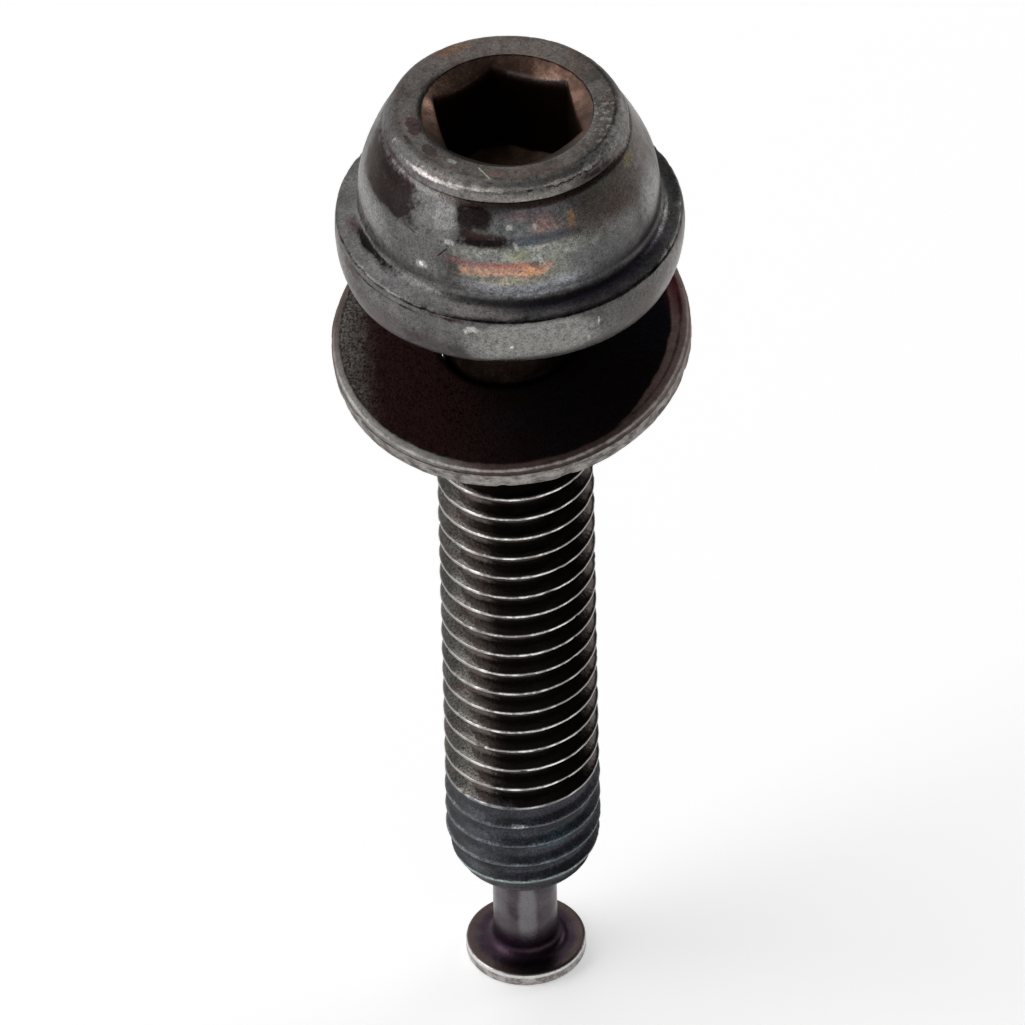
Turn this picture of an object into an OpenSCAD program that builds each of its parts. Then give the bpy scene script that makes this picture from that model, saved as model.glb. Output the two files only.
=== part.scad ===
// Brake mounting bolt: a flanged hexagon-socket screw with a long rolled thread, a bullet end,
// a necked clip disc at its tip, and one loose washer that the thread keeps on the shank.
// Millimetres, +Z up the bolt's axis, origin at the centre of the tip's end face.

/* [Tip] */
// Diameter of the disc that the safety clip sits behind
tip_disc_d = 4.7; // [4.4:0.1:5.2]
// Thickness of the disc
tip_disc_h = 0.6; // [0.5:0.05:1.2]
// Radius that breaks the disc's two edges
tip_disc_round = 0.12; // [0.05:0.01:0.2]
// Diameter of the neck between the disc and the thread
neck_d = 2.5; // [2:0.1:2.7]
// Clear length of the neck
neck_len = 4.1; // [2:0.1:8]
// Fillet where the neck meets the disc
neck_fillet = 0.45; // [0.1:0.05:0.6]

/* [Thread] */
// Outer diameter of the thread
thread_d = 6; // [5.9:0.05:6.6]
// Pitch of the thread, right-handed
thread_pitch = 1; // [0.75:0.05:1.25]
// Length of the thread, from the end face to the end of the run-out
thread_len = 25.9; // [18:0.1:32]
// Length over which the crest and the groove fade into the shank
thread_runout = 0.8; // [0.5:0.1:1.5]
// Direction in which the first crest leaves the end face, from +X
thread_start = 154; // [0:1:359]
// Length of the rounded bullet end
bullet_len = 2.3; // [1.5:0.1:3.5]
// Diameter of the flat that is left at the bullet's end
bullet_face_d = 2.8; // [2.8:0.1:4]

/* [Shank] */
// Diameter of the plain shank, which is the blank that the thread was rolled on
shank_d = 5.3; // [5.1:0.05:5.4]
// Length of the plain shank, from the run-out to the flange
shank_len = 5.4; // [5:0.1:9]
// Fillet under the head
shank_fillet = 0.4; // [0.2:0.05:0.6]

/* [Head] */
// Largest diameter of the flange
flange_d = 13.18; // [12.9:0.02:14.4]
// Diameter of the flat face under the flange
flange_face_d = 12.5; // [11.6:0.1:12.8]
// Height of the flange's widest place above that face
flange_belly_h = 1.45; // [1:0.05:1.6]
// Height of the flange's upper edge
flange_h = 2.15; // [1.9:0.05:2.4]
// Slope of the flange's top, from level
flange_top_slope = 20; // [10:1:26]
// Diameter of the body where it stands upright on the flange
body_d = 11.34; // [10.8:0.02:11.5]
// Fillet between the flange's top and the body
foot_fillet = 0.5; // [0.2:0.05:0.6]
// Length of the body's upright wall above that fillet
wall_len = 0.5; // [0.2:0.1:0.9]
// Share of the rise from the wall to the crease at which the wall's and the shoulder's tangents meet
shoulder_share = 0.4; // [0.3:0.05:0.55]
// Diameter of the crease where the body meets the crown
crown_d = 9.4; // [9.1:0.05:9.6]
// Height of the crease
crown_h = 6.24; // [6:0.02:6.3]
// Depth of the groove that the die left at the crease
crease_cut = 0.08; // [0.03:0.01:0.12]
// Slope of the crown's side, from level
crown_slope = 65; // [60:1:85]
// Radius between the crown's side and the top face
top_round = 0.45; // [0.1:0.01:0.5]
// Height of the head
head_h = 7.1; // [6.9:0.02:7.6]

/* [Socket] */
// Width of the hexagon socket across its flats
socket_af = 5; // [4:0.5:5]
// Depth of the socket's flats below the top face
socket_depth = 4; // [3:0.1:4.5]
// Angle of one corner of the hexagon, from +X
socket_turn = 40; // [0:1:59]
// Diameter of the countersink at the top face
countersink_d = 6.5; // [6:0.1:7]
// Full angle of the countersink
countersink_angle = 110; // [90:5:140]
// Full angle of the drilled cone at the bottom
drill_angle = 118; // [90:1:140]

/* [Washer] */
// Outside diameter of the washer
washer_d = 13.64; // [12.5:0.02:14.5]
// Thickness of the washer
washer_t = 1; // [0.8:0.1:1.4]
// Radius of the edge that the punch rolled over
washer_roll = 0.35; // [0.1:0.05:0.45]
// Radius that breaks the other outer edge
washer_edge = 0.12; // [0.05:0.01:0.2]
// Angle at which the washer has come to rest on the shank
washer_tilt = 12; // [0:0.1:14]
// Direction of the washer's raised side, from +X
washer_tilt_dir = 66; // [0:1:359]
// Gap left between the tilted hole and the shank
washer_play = 0.05; // [0.03:0.01:0.08]
// Share of the free play across the tilt that the washer has moved by
washer_side = 0.45; // [0:0.05:0.8]
// Gap between the washer and the end of the thread
washer_gap = 0.08; // [0.02:0.01:0.3]

/* [Hidden] */
$fn = 96;

// A basic metric thread: the crest is an eighth of the pitch, the root a quarter, the flanks 60 degrees apart
flank_angle = 30;
crest_share = 1 / 8;
root_share = 1 / 4;
flank_share = (1 - crest_share - root_share) / 2;
thread_r = thread_d / 2;
shank_r = shank_d / 2;
root_r = thread_r - flank_share * thread_pitch / tan(flank_angle);

// The thread is drawn on columns around the axis, and on rows that climb one pitch a turn.
// The number of columns is a multiple of 16, so that every row begins and ends on a column.
thread_cols = 32;
thread_steps = floor(thread_len * thread_cols / thread_pitch);
form_steps = [0, crest_share, crest_share + flank_share, 1 - flank_share] * thread_cols;
form_r = [thread_r, thread_r, root_r, root_r];
form_n = len(form_r);
first_row = -form_n;
last_row = form_n * ceil(thread_steps / thread_cols);
row_n = last_row - first_row + 1;

// Heights along the bolt
thread_z = tip_disc_h + neck_len;
thread_top_z = thread_z + thread_steps * thread_pitch / thread_cols;
face_z = thread_z + thread_len + shank_len;
top_z = face_z + head_h;

// Where the thread runs into the shank it ends just inside it, so the two solids share no face
thread_sink = 0.02;
shank_overlap = 0.05;
faded_len = thread_pitch * flank_share + shank_overlap;

// Points on each rounded stretch of an outline
arc_n = 6;
curve_n = 10;
cut_over = 0.5;

// The tilted washer: the hole just lets it lean on the shank, and its low side stays above the thread
washer_r = washer_d / 2;
washer_hole_d = (shank_d + 2 * washer_play + washer_t * sin(washer_tilt)) / cos(washer_tilt);
washer_shift = washer_side * (washer_hole_d - shank_d) / 2;
washer_z = face_z - shank_len + washer_gap + washer_t / 2 * cos(washer_tilt) + thread_r * sin(washer_tilt);

// The point that a fraction t of a quadratic curve from a to c has reached, steered by b
function curve(a, b, c, t) = (1 - t) * (1 - t) * a + 2 * t * (1 - t) * b + t * t * c;

// The points of such a curve, with its two ends
function curve_points(a, b, c) = [for (i = [0:curve_n]) curve(a, b, c, i / curve_n)];

// The points of an arc about c, from angle a to angle b
function arc(c, r, a, b) =
    [for (i = [0:arc_n]) let (t = a + (b - a) * i / arc_n) c + r * [cos(t), sin(t)]];

// Height of a row where it crosses a column, in steps above the thread's end face
function steps(col, row) =
    let (turn = floor(row / form_n))
    max(0, min(thread_steps, col + turn * thread_cols + form_steps[row - turn * form_n]));

// The bullet end: a quarter ellipse from the end face out to the crest
function bullet_r(z) =
    let (left = max(0, 1 - z / bullet_len), face_r = bullet_face_d / 2)
    face_r + (thread_r - face_r) * sqrt(1 - left * left);

// Radius of the thread at a row and a height above its end face
function rolled_r(row, z) =
    let (form = min(form_r[(row - first_row) % form_n], bullet_r(z)),
         left = (thread_len - faded_len - z) / thread_runout,
         full = max(0, min(1, left)),
         core = shank_r - thread_sink)
    core + (form - core) * full;

function thread_point(col, row) =
    let (z = steps(col, row) * thread_pitch / thread_cols,
         r = rolled_r(row, z),
         a = thread_start + 360 * col / thread_cols)
    [r * cos(a), r * sin(a), thread_z + z];

// Number of the point where a row crosses a column. A row that hasn't begun, or has ended, is at the ring there,
// and the column after the last is the first again, one turn up.
function point_at(col, row) =
    col == thread_cols ? point_at(0, min(row + form_n, last_row)) :
    let (s = steps(col, row),
         r = s == 0 ? first_row : s == thread_steps ? last_row : row)
    col * row_n + r - first_row;

module thread() {
    points = [for (col = [0:thread_cols - 1], row = [first_row:last_row]) thread_point(col, row)];
    strips = [
        for (col = [0:thread_cols - 1], row = [first_row:last_row - 1])
            let (a = point_at(col, row), b = point_at(col, row + 1),
                 c = point_at(col + 1, row + 1), d = point_at(col + 1, row))
            each [[a, b, c], [a, c, d]]
    ];
    sides = [for (t = strips) if (t[0] != t[1] && t[1] != t[2] && t[2] != t[0]) t];
    end_face = [for (col = [0:thread_cols - 1]) point_at(col, first_row)];
    shank_face = [for (col = [thread_cols - 1:-1:0]) point_at(col, last_row)];
    polyhedron(points = points, faces = concat(sides, [end_face, shank_face]), convexity = 20);
}

// Outline of the tip disc and the neck, from the axis outwards and up
function tip_outline() =
    let (r = tip_disc_d / 2, e = tip_disc_round, f = neck_fillet, n = neck_d / 2)
    concat(
        [[0, 0]],
        arc([r - e, e], e, -90, 0),
        arc([r - e, tip_disc_h - e], e, 0, 90),
        arc([n + f, tip_disc_h + f], f, 270, 180),
        [[n, thread_top_z - shank_overlap]]
    );

// Outline of the shank and the head, up to the top face
function head_outline() =
    let (f = shank_fillet,
         flange_r = flange_d / 2,
         inset = flange_r - flange_face_d / 2,
         belly_r = (flange_belly_h ^ 2 + inset ^ 2) / (2 * inset),
         low = asin(flange_belly_h / belly_r),
         high = asin((flange_h - flange_belly_h) / belly_r),
         edge = [flange_r - belly_r * (1 - cos(high)), face_z + flange_h],
         s = flange_top_slope,
         foot_r = body_d / 2 + foot_fillet * (1 - sin(s)),
         foot_c = [body_d / 2 + foot_fillet, edge.y + (edge.x - foot_r) * tan(s) + foot_fillet * cos(s)],
         wall = [body_d / 2, foot_c.y + wall_len],
         crease = [crown_d / 2, face_z + crown_h],
         bend = [wall.x, wall.y + shoulder_share * (crease.y - wall.y)],
         corner = [crease.x - (top_z - crease.y) / tan(crown_slope), top_z],
         groove_r = crease.x - crease_cut / tan(crown_slope) - crease_cut,
         land_r = crease.x - 2 * crease_cut / tan(crown_slope),
         round_c = corner - top_round * [tan(crown_slope / 2), 1])
    concat(
        [[shank_r, thread_top_z - shank_overlap]],
        arc([shank_r + f, face_z - f], f, 180, 90),
        arc([flange_r - belly_r, face_z + flange_belly_h], belly_r, -low, high),
        arc(foot_c, foot_fillet, 270 - s, 180),
        curve_points(wall, bend, crease),
        [[groove_r, crease.y + crease_cut], [land_r, crease.y + 2 * crease_cut]],
        arc(round_c, top_round, 90 - crown_slope, 90),
        [[0, top_z]]
    );

module hex_socket() {
    drill_r = socket_af / 2;
    wide_r = countersink_d / 2;
    half = countersink_angle / 2;
    translate([0, 0, top_z - socket_depth]) {
        rotate([0, 0, socket_turn])
            cylinder(h = socket_depth + cut_over, r = socket_af / sqrt(3), $fn = 6);
        translate([0, 0, -drill_r / tan(drill_angle / 2)])
            cylinder(h = drill_r / tan(drill_angle / 2), r1 = 0, r2 = drill_r);
    }
    translate([0, 0, top_z - wide_r / tan(half)])
        cylinder(h = wide_r / tan(half) + cut_over, r1 = 0, r2 = wide_r + cut_over * tan(half));
}

module bolt() {
    color([0.22, 0.22, 0.23])
    difference() {
        union() {
            rotate_extrude() polygon(concat(tip_outline(), head_outline()));
            thread();
        }
        hex_socket();
    }
}

module washer() {
    hole_r = washer_hole_d / 2;
    half_t = washer_t / 2;
    color([0.17, 0.15, 0.15])
    translate([0, 0, washer_z])
    rotate([0, 0, washer_tilt_dir])
    translate([0, washer_shift, 0])
    rotate([0, -washer_tilt, 0])
    rotate_extrude()
    polygon(concat(
        [[hole_r, -half_t]],
        arc([washer_r - washer_edge, washer_edge - half_t], washer_edge, -90, 0),
        arc([washer_r - washer_roll, half_t - washer_roll], washer_roll, 0, 90),
        [[hole_r, half_t]]
    ));
}

bolt();
washer();
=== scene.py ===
import math

import bpy
import numpy as np
from mathutils import Matrix, Vector, noise


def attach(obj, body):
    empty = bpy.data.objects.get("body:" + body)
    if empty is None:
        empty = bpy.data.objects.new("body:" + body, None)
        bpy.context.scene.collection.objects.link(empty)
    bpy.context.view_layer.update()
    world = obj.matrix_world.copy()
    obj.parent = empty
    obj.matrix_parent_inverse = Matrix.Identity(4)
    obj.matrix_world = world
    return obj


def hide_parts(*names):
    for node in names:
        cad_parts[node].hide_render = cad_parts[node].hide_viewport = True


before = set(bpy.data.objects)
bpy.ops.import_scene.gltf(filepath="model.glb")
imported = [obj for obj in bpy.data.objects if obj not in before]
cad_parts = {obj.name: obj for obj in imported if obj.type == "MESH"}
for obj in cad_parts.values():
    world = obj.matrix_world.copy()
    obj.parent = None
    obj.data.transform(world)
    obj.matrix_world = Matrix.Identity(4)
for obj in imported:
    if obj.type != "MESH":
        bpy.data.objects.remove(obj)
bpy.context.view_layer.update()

MM = 0.001

# Tip disc and neck
TIP_DISC_D = 4.7
TIP_DISC_H = 0.6
TIP_DISC_ROUND = 0.12
NECK_D = 2.5
NECK_LEN = 4.1
NECK_FILLET = 0.45

# Thread
THREAD_D = 6.0
THREAD_PITCH = 1.0
THREAD_LEN = 25.9
THREAD_RUNOUT = 0.8
THREAD_START = 155
BULLET_LEN = 2.3
BULLET_FACE_D = 2.8
CREST_SHARE = 1 / 8
ROOT_SHARE = 1 / 4
FLANK_SHARE = (1 - CREST_SHARE - ROOT_SHARE) / 2
FLANK_ANGLE = 30
# How far round from the front the middle of the crests' painted highlight lies, in radians
CREST_SHEEN_TURN = 0.03

# Shank and head
SHANK_D = 5.3
SHANK_LEN = 5.4
SHANK_FILLET = 0.4
FLANGE_D = 13.18
FLANGE_FACE_D = 12.5
FLANGE_BELLY_H = 1.45
FLANGE_H = 2.15
FLANGE_TOP_SLOPE = 20
FLANGE_ROUND = 0.12
BODY_D = 11.34
FOOT_FILLET = 0.5
WALL_LEN = 0.5
SHOULDER_SHARE = 0.4
CROWN_D = 9.4
CROWN_H = 6.24
CREASE_CUT = 0.08
CROWN_SLOPE = 65
CROWN_SHIFT = -0.07
TOP_ROUND = 0.45
HEAD_H = 7.1

# Hexagon socket
SOCKET_AF = 5.1
SOCKET_DEPTH = 4.0
SOCKET_TURN = 40
COUNTERSINK_D = 6.5
COUNTERSINK_ANGLE = 110
DRILL_ANGLE = 118
# How far the socket was struck off centre, towards the front
SOCKET_SHIFT = -0.15

# Washer
WASHER_D = 13.64
WASHER_T = 1.0
WASHER_ROLL = 0.35
WASHER_EDGE = 0.12
WASHER_TILT = 12
WASHER_TILT_DIR = 66
WASHER_PLAY = 0.05
WASHER_SIDE = 0.2
WASHER_GAP = 0.08
# Azimuths on the washer, in its own frame, of its left and its right in the photograph
WASHER_LEFT = 118
WASHER_RIGHT = -62

# Dried thread-locking coat: height, lean and raggedness of its edge, radius in the grooves, thickness
COAT_TOP = 9.75
COAT_LEAN = 0.35
COAT_RAGGED = 0.22
COAT_R = 2.74
COAT_THICK = 0.015

# Unevenness of the surfaces, as depths
THREAD_WAVE = 0.012
CREST_NICK = 0.03
HEAD_WAVE = 0.022
HEAD_RIPPLE = 0.004
RIM_KNOCK = 0.05
FLANGE_KNOCK = 0.04
# How much fuller the flange's side is at the front left
FLANGE_FULL = 0.18
WASHER_WAVE = 0.02
WASHER_RIPPLE = 0.008
WASHER_WARP = 0.03
WASHER_KNOCK = 0.06
BURR_DEPTH = 0.14
BURR_HEIGHT = 0.06
# Width of the burr at the washer's hole, in radians
BURR_WIDE = 0.25

# Columns round the thread, and twice as many round the head
COLS = 144
HEAD_COLS = 2 * COLS

THREAD_R = THREAD_D / 2
SHANK_R = SHANK_D / 2
ROOT_R = THREAD_R - FLANK_SHARE * THREAD_PITCH / math.tan(math.radians(FLANK_ANGLE))
THREAD_Z = TIP_DISC_H + NECK_LEN
FACE_Z = THREAD_Z + THREAD_LEN + SHANK_LEN
TOP_Z = FACE_Z + HEAD_H
SOCKET_Z = TOP_Z - SOCKET_DEPTH
DRILL_SIDE = math.tan(math.radians(DRILL_ANGLE / 2))
WASHER_LEAN = math.radians(WASHER_TILT)
WASHER_HOLE_R = (SHANK_D + 2 * WASHER_PLAY + WASHER_T * math.sin(WASHER_LEAN)) / math.cos(WASHER_LEAN) / 2

# Rows of the thread within one pitch, in steps of a column: crest, flank, root, flank
FORM_STEPS = np.array([0, 5, 13, 18, 33, 49, 63, 70, 81, 92, 99, 113, 129])
FIRST_ROW = -len(FORM_STEPS)
THREAD_STEPS = int(THREAD_LEN * COLS / THREAD_PITCH)
LAST_ROW = len(FORM_STEPS) * math.ceil(THREAD_STEPS / COLS)


def smooth(low, high, value):
    """0 on low's side, 1 on high's, and a smooth step between."""
    t = np.clip((value - low) / (high - low), 0, 1)
    return t * t * (3 - 2 * t)


def arc(centre, radius, start, end, n):
    """Points of an arc of n parts about centre, from angle start to angle end in degrees."""
    t = np.radians(np.linspace(start, end, n + 1))
    return np.stack([centre[0] + radius * np.cos(t), centre[1] + radius * np.sin(t)], 1)


def line(a, b, n):
    """Points of a straight line of n parts, without its last."""
    t = np.linspace(0, 1, n, endpoint=False)[:, None]
    return (1 - t) * np.array(a) + t * np.array(b)


def curve(a, b, c, n):
    """Points of a quadratic curve of n parts from a to c, steered by b."""
    t = np.linspace(0, 1, n + 1)[:, None]
    return (1 - t) ** 2 * np.array(a) + 2 * t * (1 - t) * np.array(b) + t * t * np.array(c)


def rough(points, scale, seed, octaves=3):
    """Noise from about -1 to 1 at each point, with features of about 1 / scale."""
    shift = Vector((seed, -seed, 2 * seed))
    return np.array([noise.fractal(Vector(p) * scale + shift, 0.8, 2.0, octaves) for p in points])


class Skin:
    """A closed skin, built ring by ring from the bottom of the axis to the top."""

    def __init__(self):
        self.points = np.zeros((0, 3))
        self.faces = []

    def add(self, points):
        """Adds points and returns their numbers."""
        first = len(self.points)
        self.points = np.vstack([self.points, points])
        return np.arange(first, len(self.points))

    def ring(self, cols, radius, height):
        """Adds a ring of columns. Radius and height are numbers, or one value a column."""
        a = column_angles(cols)
        z = np.broadcast_to(height, a.shape)
        return self.add(np.stack([radius * np.cos(a), radius * np.sin(a), z], 1))

    def join(self, low, high):
        """Joins two rings of equal count, or one to a ring of twice as many columns."""
        n = len(low)
        for k in range(n):
            j = (k + 1) % n
            if len(high) == n:
                self.faces.append((low[k], low[j], high[j], high[k]))
            else:
                a, b, c = high[2 * k], high[2 * k + 1], high[(2 * k + 2) % len(high)]
                self.faces.extend([(low[k], b, a), (low[k], low[j], b), (low[j], c, b)])

    def revolve(self, start, cols, outline):
        """Carries on from ring start along an outline of radius and height, and returns the last ring."""
        for r, z in outline:
            after = self.ring(cols, r, z)
            self.join(start, after)
            start = after
        return start

    def close(self, ring, height, top):
        """Fans a ring to a point on the axis."""
        tip = self.add([[0, 0, height]])[0]
        for k in range(len(ring)):
            a, b = ring[k], ring[(k + 1) % len(ring)]
            self.faces.append((a, b, tip) if top else (b, a, tip))

    def mesh(self, name):
        """Makes a Blender object of the points that are used."""
        used = np.unique(np.concatenate([np.array(f) for f in self.faces]))
        number = np.zeros(len(self.points), int)
        number[used] = np.arange(len(used))
        data = bpy.data.meshes.new(name)
        faces = [[int(number[i]) for i in f] for f in self.faces]
        data.from_pydata((self.points[used] * MM).tolist(), [], faces)
        data.validate()
        data.shade_smooth()
        data.set_sharp_from_angle(angle=math.radians(50))
        return put_in_scene(name, data)


def put_in_scene(name, data):
    """Makes an object of this mesh, lamp or camera and shows it."""
    obj = bpy.data.objects.new(name, data)
    bpy.context.scene.collection.objects.link(obj)
    return obj


def column_angles(cols):
    """Angles of the columns, which start where the first crest leaves the thread's end face."""
    return math.radians(THREAD_START) + 2 * math.pi * np.arange(cols) / cols


def tip_outline():
    """The tip disc and the neck, from the disc's end face up to the thread's end face."""
    r, e, f, n = TIP_DISC_D / 2, TIP_DISC_ROUND, NECK_FILLET, NECK_D / 2
    return np.concatenate([
        line([0.5, 0], [r - e, 0], 4),
        arc([r - e, e], e, -90, 0, 5),
        arc([r - e, TIP_DISC_H - e], e, 0, 90, 5),
        line([r - e - 0.05, TIP_DISC_H], [n + f, TIP_DISC_H], 5),
        arc([n + f, TIP_DISC_H + f], f, 270, 180, 8),
        line([n, TIP_DISC_H + f + 0.1], [n, THREAD_Z - 0.06], 14),
        arc([n + 0.06, THREAD_Z - 0.06], 0.06, 180, 90, 3),
    ])


def form_radius(steps):
    """Radius of the rolled form at so many steps above the start of its crest, with its corners rounded."""
    knots = np.array([0, CREST_SHARE, CREST_SHARE + FLANK_SHARE, 1 - FLANK_SHARE, 1]) * COLS
    radii = [THREAD_R, THREAD_R, ROOT_R, ROOT_R, THREAD_R]
    blur = np.linspace(-6, 6, 9)
    return np.mean([np.interp((steps + b) % COLS, knots, radii) for b in blur], 0)


def bullet_radius(z):
    """The bullet end: a quarter ellipse from the end face out to the crest."""
    left = np.clip(1 - z / BULLET_LEN, 0, None)
    face_r = BULLET_FACE_D / 2
    return face_r + (THREAD_R - face_r) * np.sqrt(1 - left * left)


def crest_share(points):
    """How near each point is to a crest of the thread, from 0 at the root to 1."""
    turns = np.arctan2(points[:, 1], points[:, 0]) / (2 * math.pi) - THREAD_START / 360
    steps = ((points[:, 2] - THREAD_Z) / THREAD_PITCH - turns) % 1 * COLS
    return (form_radius(steps) - ROOT_R) / (THREAD_R - ROOT_R)


def coat_depth(points):
    """How much of the thread-locking coat lies at each point, from 0 to 1."""
    a = np.arctan2(points[:, 1], points[:, 0])
    edge = COAT_TOP - COAT_LEAN * np.sin(a) + COAT_RAGGED * rough(points, 0.9, 3)
    return 1 - smooth(edge - 0.12, edge + 0.12, points[:, 2])


def thread(skin):
    """Adds the thread: a grid whose rows climb one pitch a turn, cut off level at both ends.
    Returns its lowest and its highest ring."""
    n = len(FORM_STEPS)
    row = np.arange(FIRST_ROW, LAST_ROW + 1)
    col = np.arange(COLS)
    steps = np.clip(col[:, None] + row // n * COLS + FORM_STEPS[row % n], 0, THREAD_STEPS)
    z = steps * THREAD_PITCH / COLS
    fade = np.clip((THREAD_LEN - THREAD_PITCH * FLANK_SHARE - z) / THREAD_RUNOUT, 0, 1)
    r = np.minimum(form_radius(FORM_STEPS[row % n])[None, :], bullet_radius(z))
    r = SHANK_R + (r - SHANK_R) * fade
    a = np.broadcast_to(column_angles(COLS)[:, None], r.shape)
    points = np.stack([r * np.cos(a), r * np.sin(a), THREAD_Z + z], 2).reshape(-1, 3)
    number = skin.add(worn_thread(points)).reshape(r.shape)
    number = np.where(steps == 0, number[:, :1], number)
    number = np.where(steps == THREAD_STEPS, number[:, -1:], number)
    turn_up = np.minimum(np.arange(len(row)) + n, len(row) - 1)
    number = np.vstack([number, number[0][turn_up]])
    for k in range(COLS):
        for i in range(len(row) - 1):
            face = [number[k, i], number[k + 1, i], number[k + 1, i + 1], number[k, i + 1]]
            face = [v for j, v in enumerate(face) if v != face[j - 1]]
            if len(face) > 2:
                skin.faces.append(tuple(face))
    return number[:COLS, 0], number[:COLS, -1]


def worn_thread(points):
    """Fills the grooves under the coat, nicks the crests and leaves the rolled flanks slightly uneven."""
    r = np.hypot(points[:, 0], points[:, 1])
    height = points[:, 2] - THREAD_Z
    inside = smooth(0.02, 0.25, height) * smooth(0.05, 0.4, THREAD_LEN - height)
    coat = coat_depth(points)
    room = np.clip(np.minimum(COAT_R, bullet_radius(height)) - r, 0, None)
    fill = room * (0.3 + 0.55 * smooth(1, 2.5, height))
    crest = smooth(THREAD_R - 0.12, THREAD_R - 0.02, r)
    nick = smooth(0.45, 0.8, rough(points, 1.6, 11)) * crest
    wave = THREAD_WAVE * rough(points, 2.2, 23)
    new_r = r + inside * (coat * (fill + COAT_THICK) - CREST_NICK * nick + wave)
    return np.column_stack([points[:, :2] * (new_r / r)[:, None], points[:, 2]])


def head_outline():
    """The shank's upper end, the flange, the body and the crown, up to the countersink's edge."""
    f = SHANK_FILLET
    flange_r = FLANGE_D / 2
    inset = flange_r - FLANGE_FACE_D / 2
    belly_r = (FLANGE_BELLY_H ** 2 + inset ** 2) / (2 * inset)
    low = math.degrees(math.asin(FLANGE_BELLY_H / belly_r))
    high = math.degrees(math.asin((FLANGE_H - FLANGE_BELLY_H) / belly_r))
    edge = [flange_r - belly_r * (1 - math.cos(math.radians(high))), FACE_Z + FLANGE_H]
    top = math.radians(FLANGE_TOP_SLOPE)
    before = math.degrees(FLANGE_ROUND / belly_r)
    belly = arc([flange_r - belly_r, FACE_Z + FLANGE_BELLY_H], belly_r, -low, high - before, 14)
    after = [edge[0] - FLANGE_ROUND * math.cos(top), edge[1] + FLANGE_ROUND * math.sin(top)]
    foot_r = BODY_D / 2 + FOOT_FILLET * (1 - math.sin(top))
    foot_z = edge[1] + (edge[0] - foot_r) * math.tan(top)
    foot_c = [BODY_D / 2 + FOOT_FILLET, foot_z + FOOT_FILLET * math.cos(top)]
    wall = [BODY_D / 2, foot_c[1] + WALL_LEN]
    crease = [CROWN_D / 2, FACE_Z + CROWN_H]
    bend = [wall[0], wall[1] + SHOULDER_SHARE * (crease[1] - wall[1])]
    side = math.tan(math.radians(CROWN_SLOPE))
    groove = [crease[0] - CREASE_CUT / side - CREASE_CUT, crease[1] + CREASE_CUT]
    land = [crease[0] - 2 * CREASE_CUT / side, crease[1] + 2 * CREASE_CUT]
    corner = [crease[0] - (TOP_Z - crease[1]) / side, TOP_Z]
    round_c = [corner[0] - TOP_ROUND * math.tan(math.radians(CROWN_SLOPE / 2)), TOP_Z - TOP_ROUND]
    rim = arc(round_c, TOP_ROUND, 90 - CROWN_SLOPE, 90, 9)
    return np.concatenate([
        arc([SHANK_R + f, FACE_Z - f], f, 180, 90, 6),
        line([SHANK_R + f + 0.2, FACE_Z], [FLANGE_FACE_D / 2 - 0.1, FACE_Z], 8),
        belly,
        curve(belly[-1], edge, after, 4)[1:],
        line(after, [foot_r, foot_z], 4)[1:],
        arc(foot_c, FOOT_FILLET, 270 - FLANGE_TOP_SLOPE, 180, 10),
        line([wall[0], foot_c[1]], wall, 4)[1:],
        curve(wall, bend, crease, 26),
        [groove, land],
        line(land, rim[0], 4)[1:],
        rim,
        line([round_c[0] - 0.08, TOP_Z], [COUNTERSINK_D / 2 + 0.05, TOP_Z], 5),
    ])


def hex_radius(cols, af):
    """Radius of a hexagon of width af across its flats, at each column."""
    a = np.degrees(column_angles(cols)) - SOCKET_TURN
    return af / 2 / np.cos(np.radians(a % 60 - 30))


def socket(skin, ring):
    """Carries on from the countersink's edge down the socket's walls to the bottom of the drilled cone."""
    wide_r = COUNTERSINK_D / 2
    fall = 1 / math.tan(math.radians(COUNTERSINK_ANGLE / 2))
    wall = hex_radius(HEAD_COLS, SOCKET_AF)
    lip = hex_radius(HEAD_COLS, SOCKET_AF + 0.12)
    rings = [(wide_r, TOP_Z - 0.01), (wide_r - 0.04, TOP_Z - 0.05 * fall)]
    for t in (0.35, 0.7, 1):
        r = wide_r + (lip - wide_r) * t
        rings.append((r, TOP_Z - (wide_r - r) * fall))
    wall_top = TOP_Z - (wide_r - wall) * fall - 0.04
    for t in (0, 0.1, 0.3, 0.6, 0.98):
        rings.append((wall, wall_top + (SOCKET_Z - wall_top) * t))
    rings.append((wall - 0.04, SOCKET_Z))
    for t in (1, 0.75, 0.5, 0.25, 0.05):
        r = (SOCKET_AF / 2 - 0.06) * t
        rings.append((r, SOCKET_Z - (SOCKET_AF / 2 - r) / DRILL_SIDE))
    return skin.revolve(ring, HEAD_COLS, rings)


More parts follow.
